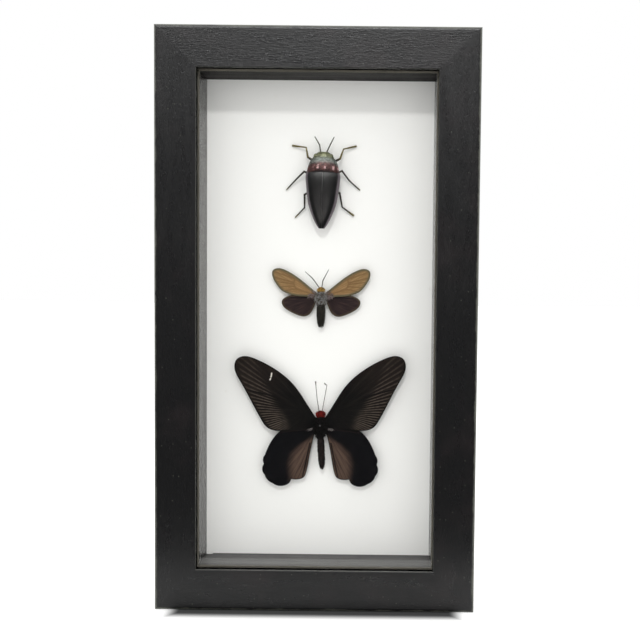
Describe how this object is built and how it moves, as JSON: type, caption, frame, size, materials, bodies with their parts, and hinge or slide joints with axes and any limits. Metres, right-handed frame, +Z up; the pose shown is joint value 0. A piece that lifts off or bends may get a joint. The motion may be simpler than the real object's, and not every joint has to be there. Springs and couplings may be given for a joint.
{
  "type": "insect display case",
  "caption": "Glass-fronted black wooden shadow box with a set beetle, moth and swallowtail butterfly, turn-button back and hanging ring.",
  "frame": {"origin": "middle of the base, at the middle of the depth over the wall bumpers", "axes": "+Z up along the long side, +Y from the glass to the back, +X to the right seen from the front"},
  "size_m": [0.2, 0.0436, 0.362],
  "materials": {
    "black_wood": "black stain, matt, worn on the arrises",
    "spacer_wood": "black stain, satin",
    "glass": "clear float glass",
    "white_board": "white foam board",
    "hardboard": "brown hardboard, smooth side out",
    "zinc": "zinc plated, slightly dulled",
    "steel": "bare steel",
    "rubber": "matt black rubber",
    "butterfly_wing": "velvety black scales with paler streaks",
    "butterfly_body": "black hair",
    "butterfly_head": "red hair",
    "moth_forewing": "tan brown scales, olive edge",
    "moth_hindwing": "dark purple brown scales, olive edge",
    "moth_body": "blue grey and black hair",
    "moth_head": "golden hair",
    "beetle_shell": "black horn with a soft sheen",
    "beetle_copper": "olive green metallic with copper lights",
    "clear_glue": "set clear glue"
  },
  "bodies": {
    "case": {"top_rail": "black_wood", "bottom_rail": "black_wood", "left_stile": "black_wood", "right_stile": "black_wood", "corner_v_nails": "steel", "glass": "glass", "top_spacer": "spacer_wood", "bottom_spacer": "spacer_wood", "left_spacer": "spacer_wood", "right_spacer": "spacer_wood", "specimen_board": "white_board", "back_panel": "hardboard", "turn_button_screws": "zinc", "hanger_strap": "zinc", "hanger_screw": "zinc", "wall_bumpers": "rubber", "specimen_pins": "steel", "butterfly_thorax": "butterfly_body", "butterfly_head": "butterfly_head", "butterfly_abdomen": "butterfly_body", "butterfly_left_forewing": "butterfly_wing", "butterfly_right_forewing": "butterfly_wing", "butterfly_left_hindwing": "butterfly_wing", "butterfly_right_hindwing": "butterfly_wing", "butterfly_antennae": "butterfly_body", "moth_thorax": "moth_body", "moth_head": "moth_head", "moth_abdomen": "moth_body", "moth_left_forewing": "moth_forewing", "moth_right_forewing": "moth_forewing", "moth_left_hindwing": "moth_hindwing", "moth_right_hindwing": "moth_hindwing", "moth_antennae": "moth_body", "beetle_right_wing_case": "beetle_shell", "beetle_left_wing_case": "beetle_shell", "beetle_underside": "beetle_shell", "beetle_pronotum": "beetle_copper", "beetle_head": "beetle_copper", "beetle_legs": "beetle_shell", "beetle_antennae": "beetle_shell", "beetle_glue": "clear_glue"},
    "ring": {"hanger_ring": "zinc"},
    "top_button": {"turn_button_top": "zinc"},
    "bottom_button": {"turn_button_bottom": "zinc"},
    "left_upper_button": {"turn_button_left_upper": "zinc"},
    "left_lower_button": {"turn_button_left_lower": "zinc"},
    "right_upper_button": {"turn_button_right_upper": "zinc"},
    "right_lower_button": {"turn_button_right_lower": "zinc"}
  },
  "joints": [
    {"name": "top_button_turn", "type": "hinge", "parent": "case", "child": "top_button", "pos_m": [0.04, 0.01785, 0.35], "axis": [0, 1, 0], "continuous": true},
    {"name": "bottom_button_turn", "type": "hinge", "parent": "case", "child": "bottom_button", "pos_m": [0, 0.01785, 0.012], "axis": [0, 1, 0], "continuous": true},
    {"name": "left_upper_button_turn", "type": "hinge", "parent": "case", "child": "left_upper_button", "pos_m": [-0.088, 0.01785, 0.2715], "axis": [0, 1, 0], "continuous": true},
    {"name": "left_lower_button_turn", "type": "hinge", "parent": "case", "child": "left_lower_button", "pos_m": [-0.088, 0.01785, 0.0905], "axis": [0, 1, 0], "continuous": true},
    {"name": "right_upper_button_turn", "type": "hinge", "parent": "case", "child": "right_upper_button", "pos_m": [0.088, 0.01785, 0.2715], "axis": [0, 1, 0], "continuous": true},
    {"name": "right_lower_button_turn", "type": "hinge", "parent": "case", "child": "right_lower_button", "pos_m": [0.088, 0.01785, 0.0905], "axis": [0, 1, 0], "continuous": true},
    {"name": "ring_swing", "type": "hinge", "parent": "case", "child": "ring", "pos_m": [0, 0.0201, 0.356], "axis": [1, 0, 0], "range_deg": [-5, 185]}
  ]
}
